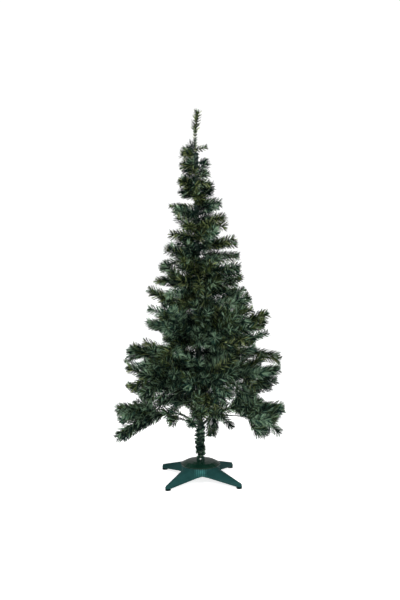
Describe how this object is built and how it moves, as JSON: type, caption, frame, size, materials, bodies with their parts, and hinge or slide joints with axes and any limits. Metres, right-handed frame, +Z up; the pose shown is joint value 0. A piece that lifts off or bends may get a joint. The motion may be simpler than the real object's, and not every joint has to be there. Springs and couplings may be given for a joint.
{
  "type": "artificial christmas tree on its stand",
  "caption": "Artificial Christmas tree: a pole in a four-legged moulded stand, tiers of brush boughs below and single brush twigs above, up to a thin upright leader",
  "frame": {"origin": "on the floor, midway between the sides of the whole tree and under the centre of its stand", "axes": "+Z up along the tree's height; +X to the viewer's right and +Y away from the viewer in the picture; metres"},
  "size_m": [0.8279, 0.8236, 1.8],
  "materials": {
    "pole": "dark green paint, satin",
    "bough_wire": "dark green wrapped wire",
    "garland": "short cut green tinsel",
    "needles": "dark bluish green cut film needles",
    "stand": "dark teal green moulded plastic, satin gloss",
    "foot": "dark teal green moulded plastic",
    "screw": "bright zinc plated"
  },
  "bodies": {
    "root": {"bough_low_1": "bough_wire", "bough_low_2": "bough_wire", "bough_low_3": "bough_wire", "bough_low_4": "bough_wire", "bough_low_5": "bough_wire", "bough_middle_1": "bough_wire", "bough_middle_2": "bough_wire", "bough_middle_3": "bough_wire", "bough_middle_4": "bough_wire", "bough_middle_5": "bough_wire", "bough_upper_1": "bough_wire", "bough_upper_2": "bough_wire", "bough_upper_3": "bough_wire", "bough_upper_4": "bough_wire", "bough_upper_5": "bough_wire", "foliage_crown_01": "needles", "foliage_crown_02": "needles", "foliage_crown_03": "needles", "foliage_crown_04": "needles", "foliage_crown_05": "needles", "foliage_crown_06": "needles", "foliage_crown_07": "needles", "foliage_crown_08": "needles", "foliage_crown_09": "needles", "foliage_crown_10": "needles", "foliage_crown_11": "needles", "foliage_crown_12": "needles", "foliage_crown_13": "needles", "foliage_crown_14": "needles", "foliage_crown_15": "needles", "foliage_crown_16": "needles", "foliage_crown_17": "needles", "foliage_crown_18": "needles", "foliage_leader": "needles", "foliage_low_1": "needles", "foliage_low_2": "needles", "foliage_low_3": "needles", "foliage_low_4": "needles", "foliage_low_5": "needles", "foliage_middle_1": "needles", "foliage_middle_2": "needles", "foliage_middle_3": "needles", "foliage_middle_4": "needles", "foliage_middle_5": "needles", "foliage_upper_1": "needles", "foliage_upper_2": "needles", "foliage_upper_3": "needles", "foliage_upper_4": "needles", "foliage_upper_5": "needles", "foot_1": "foot", "foot_2": "foot", "foot_3": "foot", "foot_4": "foot", "stand_cap": "stand", "stand_left": "stand", "stand_right": "stand", "stand_screw": "screw", "trunk_garland": "garland", "trunk_pole": "pole"}
  },
  "joints": []
}
